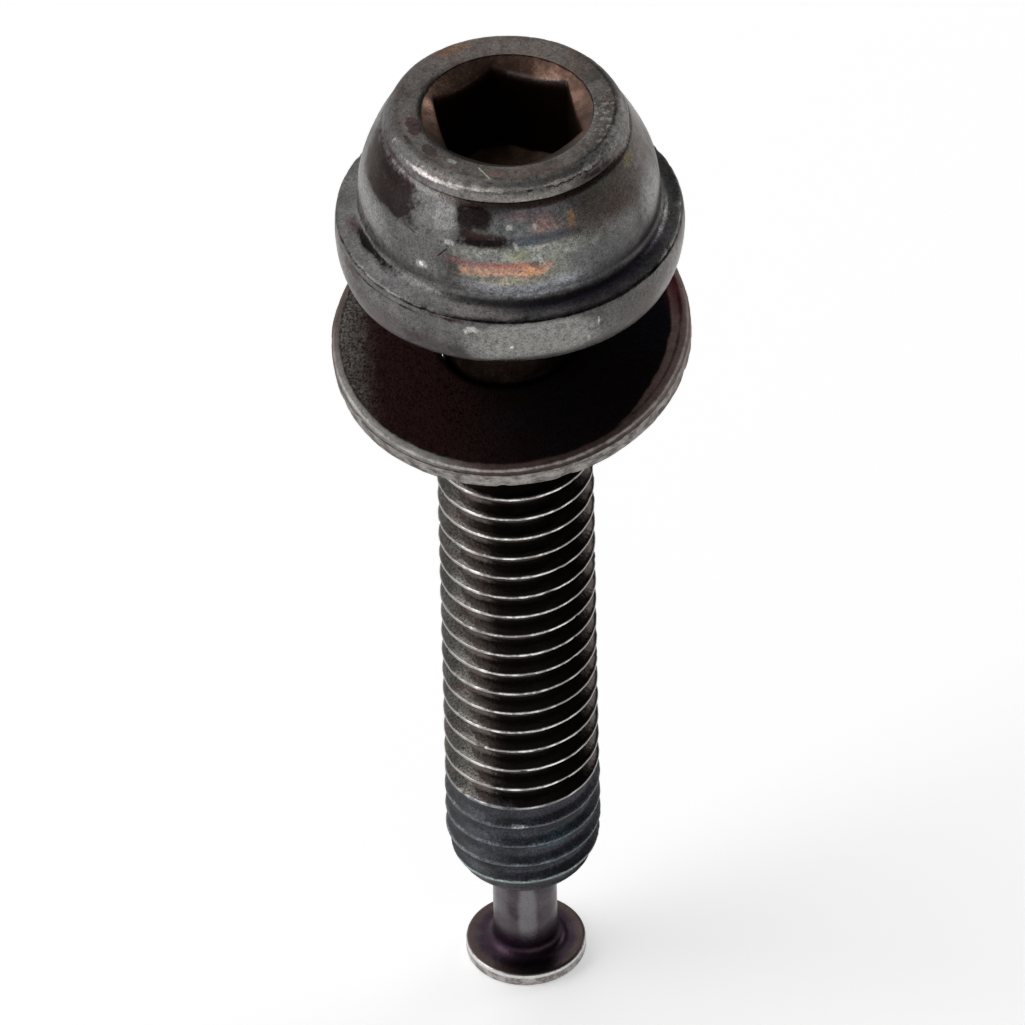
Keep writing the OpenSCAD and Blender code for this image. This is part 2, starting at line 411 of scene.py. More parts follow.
def forged(points):
    """Gives the forged head its slight waviness, a fuller flange at one side, a crown and a socket
    struck a little off centre, and knocks in its two edges."""
    r = np.hypot(points[:, 0], points[:, 1])
    z = points[:, 2]
    head = smooth(FACE_Z + 0.3, FACE_Z + 0.8, z) * smooth(COUNTERSINK_D / 2, COUNTERSINK_D / 2 + 0.2, r)
    rim = np.exp(-(((r - CROWN_D / 2 + 0.3) ** 2 + (z - TOP_Z + 0.3) ** 2) / 0.04))
    edge = np.exp(-(((r - FLANGE_D / 2) ** 2 + (z - FACE_Z - FLANGE_H) ** 2) / 0.04))
    wave = HEAD_WAVE * rough(points, 0.45, 31) + HEAD_RIPPLE * rough(points, 2.5, 37)
    knock = smooth(0.1, 0.6, rough(points, 2.6, 41)) * (RIM_KNOCK * rim + FLANGE_KNOCK * edge)
    turn = np.degrees(np.arctan2(points[:, 1], points[:, 0]))
    full = FLANGE_FULL * smooth(-180, -135, turn) * smooth(-84, -104, turn)
    full = full * smooth(FACE_Z + 1.7, FACE_Z + 1.1, z) * smooth(FACE_Z - 0.1, FACE_Z + 0.1, z)
    full = full * smooth(FLANGE_FACE_D / 2 - 0.3, FLANGE_FACE_D / 2, r)
    new_r = r + head * (wave - knock) + full
    scale = np.divide(new_r, r, out=np.ones_like(r), where=r > 0.01)
    out = np.column_stack([points[:, :2] * scale[:, None], z - head * knock * 0.6])
    out[:, 0] += head * CROWN_SHIFT * smooth(FACE_Z + 4, FACE_Z + CROWN_H, z)
    out[:, 1] += SOCKET_SHIFT * smooth(4.2, 3.3, r) * smooth(FACE_Z + 0.5, FACE_Z + 1.2, z)
    return out


def make_bolt():
    """The bolt's whole skin, as one mesh."""
    skin = Skin()
    outline = tip_outline()
    first = skin.ring(COLS, *outline[0])
    skin.close(first, 0, top=False)
    neck_top = skin.revolve(first, COLS, outline[1:])
    thread_low, thread_high = thread(skin)
    skin.join(neck_top, thread_low)
    thread_top = skin.points[thread_high[0]][2]
    shank = line([SHANK_R, thread_top + 0.2], [SHANK_R, FACE_Z - SHANK_FILLET - 0.3], 10)
    ring = skin.revolve(thread_high, COLS, shank)
    ring = skin.revolve(ring, HEAD_COLS, head_outline())
    ring = socket(skin, ring)
    skin.close(ring, SOCKET_Z - SOCKET_AF / 2 / DRILL_SIDE, top=True)
    skin.points = forged(skin.points)
    return skin.mesh("brake_bolt")


def make_washer():
    """The loose washer, with its punched edge, laid at the CAD washer's tilt."""
    hole_r = WASHER_HOLE_R
    half = WASHER_T / 2
    outer = WASHER_D / 2
    outline = np.concatenate([
        line([hole_r + 0.1, -half], [outer - WASHER_EDGE - 0.1, -half], 10),
        arc([outer - WASHER_EDGE, WASHER_EDGE - half], WASHER_EDGE, -90, 0, 5),
        line([outer, WASHER_EDGE - half + 0.1], [outer, half - WASHER_ROLL], 5)[:-1],
        arc([outer - WASHER_ROLL, half - WASHER_ROLL], WASHER_ROLL, 0, 90, 10),
        line([outer - WASHER_ROLL - 0.1, half], [hole_r + 0.06, half], 26),
        arc([hole_r + 0.06, half - 0.06], 0.06, 90, 180, 3),
        line([hole_r, half - 0.2], [hole_r, -half + 0.1], 5),
        arc([hole_r + 0.05, -half + 0.05], 0.05, 180, 270, 3),
    ])
    skin = Skin()
    first = skin.ring(HEAD_COLS, *outline[0])
    last = skin.revolve(first, HEAD_COLS, outline[1:])
    skin.join(last, first)
    own_frame = washer_frame()
    turned = punched(skin.points, outer, half) @ np.array(own_frame.to_3x3()).T
    skin.points = turned + np.array(own_frame.translation)
    return skin.mesh("captive_washer")


def washer_frame():
    """Where the washer's own frame lies: tilted, and a little aside on the shank."""
    half = WASHER_T / 2
    z = FACE_Z - SHANK_LEN + WASHER_GAP + half * math.cos(WASHER_LEAN) + THREAD_R * math.sin(WASHER_LEAN)
    side = WASHER_SIDE * (WASHER_HOLE_R - SHANK_R)
    turn = Matrix.Rotation(math.radians(WASHER_TILT_DIR), 4, "Z")
    lean = Matrix.Rotation(-WASHER_LEAN, 4, "Y")
    return Matrix.Translation((0, 0, z)) @ turn @ Matrix.Translation((0, side, 0)) @ lean


def punched(points, outer, half):
    """The unevenness of a punched washer: a slightly wavy rolled edge with knocks, and a burr at the hole."""
    r = np.hypot(points[:, 0], points[:, 1])
    rim = smooth(outer - 0.9, outer - 0.1, r)
    wave = WASHER_WAVE * rough(points, 0.7, 53) + WASHER_RIPPLE * rough(points, 3, 59)
    knock = WASHER_KNOCK * smooth(0.35, 0.8, rough(points, 1.4, 61))
    top = smooth(0, half, points[:, 2])
    new_r = r + rim * (wave - knock)
    new_z = points[:, 2] + rim * top * (WASHER_WARP * rough(points, 0.9, 67) - knock * 0.6)
    turned = Matrix.Rotation(-math.radians(WASHER_LEFT + 5), 2)
    aside = np.arctan2(*(points[:, :2] @ np.array(turned).T).T[::-1])
    burr = np.exp(-(aside / BURR_WIDE) ** 2) * smooth(3.1, 2.9, r) * top
    scale = (new_r - BURR_DEPTH * burr) / r
    return np.column_stack([points[:, :2] * scale[:, None], new_z + BURR_HEIGHT * burr])


def srgb(red, green, blue):
    """A colour as a screen shows it, from 0 to 255, in the linear values that a shader takes."""
    c = np.array([red, green, blue]) / 255
    c = np.where(c <= 0.04045, c / 12.92, ((c + 0.055) / 1.055) ** 2.4)
    return (*c.tolist(), 1)


class Nodes:
    """A node tree and short ways to add to it. A value that is asked for may also be a node's output."""

    def __init__(self, tree):
        self.nodes = tree.nodes
        self.links = tree.links

    def put(self, value, socket):
        """Links an output, or sets a plain value."""
        if isinstance(value, bpy.types.NodeSocket):
            self.links.new(value, socket)
        else:
            socket.default_value = value

    def fill(self, node, values):
        """Links or sets a node's inputs, by their names or numbers."""
        for name, value in dict(values).items():
            self.put(value, node.inputs[name])

    def new(self, kind, values=(), **settings):
        """Adds a node, with its settings and its inputs."""
        node = self.nodes.new("ShaderNode" + kind)
        for name, setting in settings.items():
            setattr(node, name, setting)
        self.fill(node, values)
        return node

    def vector(self, operation, a, b=(0, 0, 0)):
        """A sum with vectors."""
        node = self.new("VectorMath", {0: a, 1: b}, operation=operation)
        return node.outputs["Value" if operation in ("LENGTH", "DOT_PRODUCT") else "Vector"]

    def math(self, operation, a, b=0.0, clamp=False):
        """A sum with numbers."""
        return self.new("Math", {0: a, 1: b}, operation=operation, use_clamp=clamp).outputs[0]

    def minus(self, a, b):
        """a less b."""
        return self.math("SUBTRACT", a, b)

    def fold(self, operation, values):
        """One operation along several values."""
        result = values[0]
        for value in values[1:]:
            result = self.math(operation, result, value)
        return result

    def all(self, *factors):
        """The product of factors."""
        return self.fold("MULTIPLY", factors)

    def either(self, *factors):
        """The largest of factors."""
        return self.fold("MAXIMUM", factors)

    def sum(self, *terms):
        """The sum of terms."""
        return self.fold("ADD", terms)

    def step(self, value, low, high, start=0.0, end=1.0):
        """start where value is below low, end above high, and a smooth step between."""
        values = enumerate((value, low, high, start, end))
        return self.new("MapRange", values, interpolation_type="SMOOTHSTEP").outputs[0]


class Paint(Nodes):
    """A material on the Principled shader, whose colour, roughness and bump come from noise and from
    places on the part. Places are in millimetres, in the piece's own frame. edge tints what the steel
    mirrors at a low angle, where black oxide mirrors little. Shades are as a screen shows them."""

    def __init__(self, name, own_frame=Matrix(), edge=(255, 255, 255)):
        self.material = bpy.data.materials.new(name)
        self.material.use_nodes = True
        super().__init__(self.material.node_tree)
        self.shader = self.nodes["Principled BSDF"]
        self.fill(self.shader, {"Metallic": 1, "Specular Tint": srgb(*edge)})
        self.noises = {}
        place = self.vector("MULTIPLY", self.new("TexCoord").outputs["Object"], (1 / MM, 1 / MM, 1 / MM))
        place = self.vector("SUBTRACT", place, own_frame.translation)
        axes = [self.vector("DOT_PRODUCT", place, own_frame.col[i].to_3d()) for i in range(3)]
        self.place = self.new("CombineXYZ", enumerate(axes)).outputs[0]
        self.x, self.y, self.z = axes
        self.r = self.math("SQRT", self.sum(self.all(self.x, self.x), self.all(self.y, self.y)))
        self.turn = self.math("ARCTAN2", self.x, self.all(self.y, -1))

    def noise(self, scale, detail=3.0, roughness=0.55, stretch=(1, 1, 1), distortion=0.0):
        """Noise from 0 to 1, with features of about 1 / scale millimetres."""
        key = (scale, detail, roughness, stretch, distortion)
        if key not in self.noises:
            values = {"Vector": self.vector("MULTIPLY", self.place, stretch), "Scale": scale,
                      "Detail": detail, "Roughness": roughness, "Distortion": distortion}
            self.noises[key] = self.new("TexNoise", values).outputs["Fac"]
        return self.noises[key]

    def given(self, name):
        """A value that the mesh carries at each point."""
        return self.new("Attribute", attribute_name=name).outputs["Fac"]

    def mix(self, factor, a, b):
        """Colour a where factor is 0 and colour b where it is 1. Each is an output or a shade."""
        a, b = (srgb(*colour) if isinstance(colour, tuple) else colour for colour in (a, b))
        return self.new("Mix", {0: factor, 6: a, 7: b}, data_type="RGBA").outputs[2]

    def over(self, colour, shade, *factors):
        """Colour with a shade laid over it by the product of factors."""
        return self.mix(self.all(*factors), colour, shade)

    def tone(self, colour, factor):
        """Colour times factor."""
        return self.new("VectorMath", {0: colour, "Scale": factor}, operation="SCALE").outputs[0]

    def warp(self, amount, scale, detail=4):
        """Noise from about -amount to amount, to make an edge ragged."""
        return self.all(self.minus(self.noise(scale, detail), 0.5), 4 * amount)

    def ring(self, radius, height, width, soft, ragged, scale):
        """1 within width of the circle of that radius and height."""
        dr = self.minus(self.r, radius)
        dz = self.minus(self.z, height)
        apart = self.math("SQRT", self.sum(self.all(dr, dr), self.all(dz, dz)))
        apart = self.sum(apart, self.warp(ragged, scale))
        return self.step(apart, width - soft, width + soft, 1, 0)

    def toward(self, azimuth):
        """Distance from the axis towards an azimuth."""
        a = math.radians(azimuth)
        return self.vector("DOT_PRODUCT", self.place, (math.cos(a), math.sin(a), 0))

    def squarish(self, u, wide, v, tall):
        """0 in the middle of a rounded rectangle with half sizes wide and tall, and 1 at its edge."""
        parts = []
        for value, half in ((u, wide), (v, tall)):
            parts.append(self.math("POWER", self.math("DIVIDE", self.math("ABSOLUTE", value), half), 3))
        return self.sum(*parts)

    def patch(self, azimuth, height, wide, tall, soft=0.1, ragged=0.1):
        """1 in a ragged patch on the side, with half sizes wide and tall. The azimuth is from -270 to 90."""
        u = self.all(self.minus(self.turn, math.radians(azimuth + 90)), self.r)
        apart = self.math("POWER", self.squarish(u, wide, self.minus(self.z, height), tall), 1 / 3)
        size = min(wide, tall)
        for amount, scale in ((1, 1.6), (0.5, 6.0)):
            apart = self.sum(apart, self.warp(amount * ragged / size, scale))
        return self.step(apart, 1 - soft / size, 1 + soft / size, 1, 0)

    def stain(self, azimuth, radius, wide, deep):
        """1 in a ragged stain on a level face, with half sizes wide and deep."""
        out = self.minus(self.toward(azimuth), radius)
        apart = self.squarish(self.toward(azimuth + 90), wide, out, deep)
        return self.step(self.sum(apart, self.warp(0.35, 5.0), self.warp(0.4, 1.6)), 0.6, 1.4, 1, 0)

    def lay(self, colour, rows, mottle):
        """Lays patches on the head's side over a colour. A row holds an azimuth, a height above the
        flange's face, a half width, a half height, a shade, a share, a softness and a raggedness."""
        for azimuth, height, wide, tall, shade, share, soft, ragged in rows:
            factor = self.all(self.patch(azimuth, FACE_Z + height, wide, tall, soft, ragged), mottle)
            colour = self.mix(self.math("MULTIPLY", factor, share, clamp=True), colour, shade)
        return colour

    def scratch(self, start, end, width, ragged=0.015):
        """1 along a line between two places, each an azimuth, a height and a radius."""
        a, b = (Matrix.Rotation(math.radians(turn), 3, "Z") @ Vector((r, 0, z))
                for turn, z, r in (start, end))
        along = b - a
        from_a = self.vector("SUBTRACT", self.place, a)
        reach = self.vector("DOT_PRODUCT", from_a, along)
        share = self.math("MULTIPLY", reach, 1 / along.length_squared, clamp=True)
        apart = self.vector("LENGTH", self.vector("SUBTRACT", from_a, self.tone(tuple(along), share)))
        apart = self.sum(apart, self.warp(ragged, 6.0))
        return self.step(apart, width * 0.5, width * 1.5, 1, 0)

    def grained(self, colour, amount, scale, detail=3.0):
        """Colour with a fine grain, darker and lighter by a share of itself."""
        return self.tone(colour, self.step(self.noise(scale, detail, 0.65), 0.3, 0.7, 1 - amount, 1 + amount))

    def finish(self, colour, roughness, height, depth):
        """Sets the shader's colour, roughness and bump. depth is in millimetres."""
        bump = self.new("Bump", {"Strength": 1, "Distance": depth * MM, "Height": height})
        self.fill(self.shader, {"Base Color": colour, "Roughness": roughness, "Normal": bump.outputs[0]})
        return self.material


# Patches on the head's side, as Paint.lay takes them: first its large areas, rubbed or under oxide, with
# painted highlights along the body's far left and far right and along the flange's lower edge, and painted
# shade in the fillet above the flange at the front
HEAD_ZONES = [
    # The next three rows are painted highlights along the body's far left and far right
    (-168, 3.8, 1.7, 0.75, (158, 156, 157), 0.7, 0.5, 0.2),
    (-174, 3.05, 1.1, 0.4, (176, 174, 174), 0.75, 0.3, 0.2),
    (-16, 4.2, 0.9, 0.95, (152, 151, 150), 0.75, 0.5, 0.2),
    (-40, 5.4, 2.0, 0.8, (88, 80, 74), 0.9, 0.45, 0.25),
    (-36, 5.05, 0.9, 0.3, (76, 60, 57), 0.4, 0.25, 0.2),
    (-14, 5.6, 1.4, 0.6, (98, 92, 88), 0.75, 0.35, 0.2),
    (-158, 5.5, 2.2, 0.78, (40, 31, 31), 0.97, 0.12, 0.16),
    (-152, 5.0, 1.7, 0.25, (36, 29, 29), 0.85, 0.15, 0.14),
    (-141, 5.35, 0.4, 0.45, (44, 38, 39), 0.8, 0.15, 0.14),
    (-160, 5.95, 1.3, 0.16, (32, 25, 25), 0.8, 0.12, 0.12),
    (-157, 6.42, 1.7, 0.13, (66, 50, 49), 0.85, 0.08, 0.12),
    (-118.5, 5.62, 0.48, 0.5, (146, 145, 144), 0.75, 0.12, 0.12),
    (-112.5, 3.75, 0.28, 0.8, (62, 57, 56), 0.7, 0.2, 0.14),
    (-52, 3.6, 1.1, 0.7, (92, 92, 92), 0.7, 0.4, 0.2),
    (-84, 1.15, 2.55, 0.85, (136, 135, 132), 0.9, 0.15, 0.12),
    (-170, 1.1, 1.4, 0.7, (150, 147, 148), 0.5, 0.5, 0.2),
    (-126, 0.8, 2.2, 0.65, (88, 82, 82), 0.7, 0.35, 0.25),
    (-117, 0.6, 1, 0.45, (66, 60, 61), 0.6, 0.3, 0.2),
    (-125, 0.8, 0.4, 0.2, (58, 50, 51), 0.5, 0.15, 0.15),
    (-108, 0.5, 0.28, 0.4, (58, 52, 52), 0.6, 0.15, 0.14),
    # Painted highlight along the flange's lower edge
    (-119, 0.1, 1.7, 0.09, (130, 126, 134), 0.6, 0.07, 0.03),
    (-44, 1.2, 1.3, 0.9, (78, 74, 72), 0.6, 0.4, 0.2),
    (-14, 1, 1.3, 0.9, (152, 149, 147), 0.5, 0.5, 0.2),
    (-140, 2.3, 3.0, 0.1, (120, 118, 118), 0.6, 0.08, 0.04),
    (-97, 2.27, 1.2, 0.1, (150, 143, 142), 0.7, 0.08, 0.06),
    # Painted shade in the fillet above the flange, at the front
    (-54, 2.38, 3.7, 0.13, (56, 52, 64), 0.85, 0.06, 0.04),
    (-80, 6.54, 2.9, 0.15, (158, 153, 148), 0.95, 0.08, 0.05),
    # Painted shade in the fillet above the flange, at the front
    (-72, 2.62, 3.2, 0.1, (58, 54, 55), 0.7, 0.1, 0.06),
]
# The tints that heat has left at the front of the body
HEAT_TINTS = [
    (-80, 5.5, 1.75, 0.58, (120, 122, 122), 0.9, 0.1, 0.08),
    (-84, 5.92, 0.95, 0.14, (138, 112, 118), 0.7, 0.12, 0.08),
    (-74, 5.5, 0.6, 0.24, (158, 128, 122), 0.85, 0.12, 0.1),
    (-63, 5.45, 0.22, 0.3, (164, 130, 96), 0.8, 0.12, 0.08),
    (-61, 5.6, 0.025, 0.5, (46, 38, 36), 0.7, 0.03, 0.02),
    (-78, 5.08, 1.3, 0.13, (64, 66, 80), 0.85, 0.1, 0.06),
    (-83, 4.95, 0.3, 0.12, (74, 90, 96), 0.8, 0.1, 0.06),
    (-20.5, 5.95, 0.33, 0.2, (136, 124, 88), 0.7, 0.15, 0.1),
    (-16, 5.5, 0.3, 0.16, (132, 120, 142), 0.5, 0.15, 0.1),
    (-46, 6.02, 0.35, 0.16, (84, 92, 76), 0.6, 0.15, 0.1),
    (-85, 4.5, 2.2, 0.28, (152, 153, 144), 0.95, 0.14, 0.1),
    (-87.5, 4.52, 0.3, 0.18, (134, 138, 106), 0.75, 0.12, 0.1),
    (-98, 4.4, 0.35, 0.2, (104, 98, 112), 0.5, 0.12, 0.1),
    (-73, 3.95, 0.45, 0.6, (124, 127, 117), 0.8, 0.15, 0.12),
    (-84, 3.05, 2.1, 0.32, (148, 150, 156), 0.95, 0.16, 0.12),
    (-88, 3.45, 1, 0.24, (160, 153, 130), 0.7, 0.15, 0.12),
    (-104, 3.68, 0.6, 0.16, (150, 142, 112), 0.7, 0.08, 0.08),
    (-93, 3.86, 1.42, 0.24, (190, 148, 126), 1, 0.1, 0.12),
    (-82, 3.85, 0.35, 0.2, (206, 150, 110), 0.8, 0.1, 0.08),
    (-98, 4.1, 1.2, 0.1, (162, 100, 92), 0.85, 0.09, 0.07),
    (-106.5, 3.76, 0.35, 0.15, (172, 130, 112), 0.6, 0.12, 0.1),
]
# Dark marks: dirt, dark patches at the front of the body, and painted shade in the crease below the crown and
# in the fillet above the flange
HEAD_DIRT_AND_SHADE = [
    (-105.5, 5.84, 0.68, 0.42, (42, 35, 35), 1, 0.12, 0.13),
    (-108.5, 5.4, 0.3, 0.4, (46, 38, 37), 0.9, 0.1, 0.1),
    (-101.5, 4.98, 1.05, 0.2, (30, 24, 24), 1, 0.08, 0.1),
    (-101, 5.2, 0.85, 0.12, (58, 42, 40), 0.8, 0.08, 0.08),
    # Painted shade in the crease below the crown
    (-76, 6.28, 3.1, 0.09, (104, 82, 76), 0.9, 0.05, 0.04),
    (-26, 6.3, 1.6, 0.06, (64, 54, 50), 0.7, 0.05, 0.05),
    (-161, 6.2, 1.4, 0.06, (40, 28, 28), 0.9, 0.05, 0.04),
    # Painted shade in the fillet above the flange, at the left
    (-153, 2.47, 1.75, 0.11, (20, 16, 16), 1, 0.05, 0.05),
    (-170, 2.38, 0.4, 0.1, (64, 42, 44), 0.8, 0.08, 0.05),
    (-92, 2.1, 8.8, 0.035, (34, 26, 26), 1, 0.03, 0.03),
    (-112, 2.0, 0.65, 0.08, (54, 36, 36), 1, 0.06, 0.06),
    (-151, 1.86, 1.8, 0.03, (36, 28, 28), 1, 0.03, 0.03),
    (-155, 1.7, 0.6, 0.14, (74, 58, 58), 0.7, 0.1, 0.08),
    (-67, 6.76, 2.2, 0.035, (40, 32, 30), 0.9, 0.03, 0.1),
    (-40, 6.52, 1.1, 0.13, (52, 38, 37), 0.9, 0.08, 0.06),
]
# Bare metal and painted highlights: the rim's painted highlight, partly rubbed bare, and knocks
HEAD_SHEEN_AND_KNOCKS = [
    # Painted highlights along the crown's rounded rim, partly rubbed bare metal
    (-131, 6.71, 1, 0.07, (222, 212, 210), 0.95, 0.05, 0.06),
    (-108, 6.78, 1, 0.04, (205, 198, 194), 1, 0.03, 0.05),
    (-80, 6.84, 1.8, 0.035, (172, 168, 164), 0.9, 0.04, 0.11),
    (-15, 6.72, 1.4, 0.22, (156, 153, 150), 0.7, 0.15, 0.15),
    (-90.3, 5.56, 0.11, 0.09, (196, 196, 193), 1, 0.05, 0.06),
    (-79.6, 5.5, 0.06, 0.07, (190, 186, 182), 1, 0.05, 0.05),
    (-88, 4.8, 0.07, 0.16, (170, 170, 166), 1, 0.06, 0.06),
    (-77, 4.77, 0.3, 0.05, (176, 172, 172), 1, 0.05, 0.05),
    (-115.7, 4.76, 0.2, 0.11, (176, 172, 170), 1, 0.05, 0.08),
    (-126.3, 3.46, 0.2, 0.16, (160, 160, 160), 0.8, 0.06, 0.1),
    (-126.3, 3.46, 0.08, 0.08, (226, 226, 226), 1, 0.03, 0.05),
    (-103.5, 1.7, 0.3, 0.14, (186, 184, 177), 1, 0.07, 0.09),
    (-90.3, 0.95, 0.08, 0.1, (214, 214, 212), 1, 0.03, 0.05),
    (-60.5, 1.5, 0.05, 0.34, (164, 163, 160), 1, 0.03, 0.06),
    (-64, 0.72, 0.07, 0.16, (160, 160, 158), 1, 0.03, 0.06),
]
# A scratch's shade and share: filled with dirt, or bare
FILLED = (34, 27, 27), 0.85
BARE = (178, 178, 172), 0.6
# Scratches on the head's side, from one azimuth and height to another, with a width
HEAD_SCRATCHES = [
    (-115.7, 4.47, -119, 4.1, 0.035, FILLED),
    (-82, 4.42, -78, 4.3, 0.025, BARE),
    (-79, 4.4, -76.5, 4.02, 0.03, BARE),
    (-77.5, 4.32, -79, 4.02, 0.02, BARE),
    (-81, 4.3, -78.5, 4.16, 0.02, BARE),
    (-160, 3.1, -163, 2.75, 0.03, FILLED),
    (-135, 4.72, -131, 4.6, 0.03, FILLED),
]
# Stains on the crown's top: an azimuth, a radius, a half width, a half depth, a shade and a share
TOP_STAINS = [
    (-165, 3.65, 0.5, 0.25, (66, 48, 51), 0.8),
    (-141, 3.76, 0.38, 0.22, (62, 50, 52), 0.75),
    (-125, 3.68, 0.2, 0.1, (146, 150, 150), 0.7),
    (-97, 3.85, 0.35, 0.16, (114, 92, 82), 0.5),
    (120, 4.0, 0.7, 0.25, (124, 92, 74), 0.6),
    (-155, 4.1, 0.3, 0.08, (66, 48, 50), 0.7),
]


def on_head(azimuth, height):
    """The azimuth, height and radius of a place on the head's side."""
    outline = head_outline()
    side = outline[outline[:, 1] > FACE_Z + 0.3]
    return azimuth, FACE_Z + height, float(np.interp(FACE_Z + height, side[:, 1], side[:, 0]))


def head_steel():
    """Forged steel: satin grey where it is rubbed, with brown and black oxide, the colours of heat, painted
    highlights and painted shade.
    """
    p = Paint("head_steel", edge=(225, 222, 220))
    h = p.minus(p.z, FACE_Z)
    cloud = p.step(p.noise(0.5, 5, 0.6), 0.35, 0.65)
    streak = p.noise(2.5, 4, 0.6, (1, 1, 0.35))
    fine = p.noise(5.0, 4, 0.7)
    even = p.step(fine, 0.28, 0.5, 0.7, 1.05)
    patchy = p.step(fine, 0.32, 0.6, 0.4, 1)
    colour = p.mix(cloud, (84, 83, 83), (108, 107, 106))
    colour = p.over(colour, p.mix(p.noise(1.2, 4), (38, 29, 29), (72, 58, 54)), back_oxide(p, h))
    colour = p.lay(colour, HEAD_ZONES, even)
    colour = p.lay(colour, HEAT_TINTS, patchy)
    colour = top_face(p, colour, h, fine)
    colour = p.lay(colour, HEAD_DIRT_AND_SHADE + HEAD_SHEEN_AND_KNOCKS, even)
    for a, low, b, high, width, (shade, share) in HEAD_SCRATCHES:
        colour = p.over(colour, shade, p.scratch(on_head(a, low), on_head(b, high), width), share)
    colour = p.grained(p.grained(colour, 0.32, 15.0), 0.16, 5.0, 4.0)
    pits = p.step(p.noise(7.0, 2, 0.5), 0.61, 0.68, 1, 0.6)
    satin = p.step(p.sum(p.all(streak, 0.5), p.all(cloud, 0.5)), 0.2, 0.8, 0.36, 0.24)
    rim = p.all(p.step(h, 6.4, 6.6), p.step(p.r, 4.0, 4.15), 0.28)
    height = p.sum(p.all(streak, 0.6), p.all(p.noise(15.0, 3, 0.65), 0.4))
    return p.finish(p.tone(colour, pits), p.sum(satin, rim), height, 0.018)


def back_oxide(p, h):
    """Patches of brown oxide round the back of the body."""
    cloud = p.step(p.noise(0.38, 5, 0.6, (1, 1, 1), 0.6), 0.56, 0.62, 0, 0.94)
    return p.all(cloud, p.step(p.y, 0, 1.5), p.step(h, 6.2, 6.1), p.step(h, 3.0, 3.6))


def top_face(p, colour, h, fine):
    """The crown's top: darker grey, with stains, traces of rust, a scratch, a rubbed right side and a rim
    that is partly worn and partly a painted highlight.
    """
    top = p.step(h, HEAD_H - 0.1, HEAD_H - 0.02)
    face = p.mix(p.step(p.noise(0.8, 5), 0.35, 0.65), (76, 72, 69), (98, 95, 93))
    face = p.over(face, (112, 103, 98), p.step(p.sum(p.y, p.warp(0.5, 0.8)), 1.5, 3.0), 0.5)
    face = p.over(face, (104, 82, 70), p.step(p.sum(p.noise(0.9, 4), p.all(fine, 0.3)), 0.66, 0.78), 0.28)
    colour = p.over(colour, face, top)
    # The rounded rim: partly rubbed metal, partly a painted highlight, lighter away from the far left
    rim = p.all(p.step(h, 6.6, 6.8), p.step(p.sum(p.r, p.warp(0.04, 2.0)), 4.05, 4.2))
    rim_wear_and_sheen = p.mix(p.step(p.x, -4.0, -2.0), (92, 88, 86), (136, 132, 128))
    colour = p.over(colour, rim_wear_and_sheen, rim, p.step(p.x, -4.0, -1.5, 0.35, 0.7))
    for azimuth, radius, wide, deep, shade, share in TOP_STAINS:
        colour = p.over(colour, shade, p.stain(azimuth, radius, wide, deep), top, share)
    line = p.scratch((-108, TOP_Z, 3.6), (-100, TOP_Z, 4.12), 0.03)
    colour = p.over(colour, (170, 165, 150), line, 0.7)
    rubbed = p.all(p.step(fine, 0.5, 0.6), p.step(p.x, 2.6, 3.8), p.step(h, 6.6, 6.8), p.step(p.y, 1.5, 0))
    return p.over(colour, (150, 148, 146), rubbed, 0.6)


def socket_steel():
    """The countersink and the socket: tan oxide, grey where keys have rubbed, and painted shade black in the
    depth.
    """
    p = Paint("socket_steel", Matrix.Translation((0, SOCKET_SHIFT, 0)))
    cloud = p.noise(1.2, 5, 0.6)
    colour = p.mix(p.step(cloud, 0.35, 0.65), (84, 62, 54), (136, 108, 92))
    colour = p.over(colour, (70, 58, 54), p.step(p.noise(6.0, 3, 0.6, (1, 1, 0.3)), 0.3, 0.7), 0.4)
    colour = p.over(colour, (84, 80, 77), p.step(p.sum(p.y, p.warp(0.5, 1.0)), -1.2, -2.0))
    colour = p.over(colour, (72, 54, 48), p.step(p.sum(p.x, p.warp(0.4, 1.5)), 2.2, 3.2), 0.6)
    glint = p.scratch((88, TOP_Z - 0.45, 2.6), (40, TOP_Z - 0.4, 2.85), 0.14, ragged=0.06)
    colour = p.over(colour, (128, 120, 122), glint, 0.6)
    # Painted shade: darker towards the depth of the socket
    deep = p.mix(cloud, (40, 32, 30), (96, 76, 60))
    colour = p.over(colour, deep, p.step(p.z, TOP_Z - 0.5, TOP_Z - 0.9))
    rim = p.ring(COUNTERSINK_D / 2, TOP_Z - 0.02, 0.05, 0.03, 0.03, 3.0)
    colour = p.over(colour, (24, 18, 17), rim, p.step(p.y, -1, 0), 0.9)
    roughness = p.step(cloud, 0.3, 0.7, 0.45, 0.35)
    return p.finish(p.grained(colour, 0.14, 12.0), roughness, p.noise(9.0, 3), 0.015)


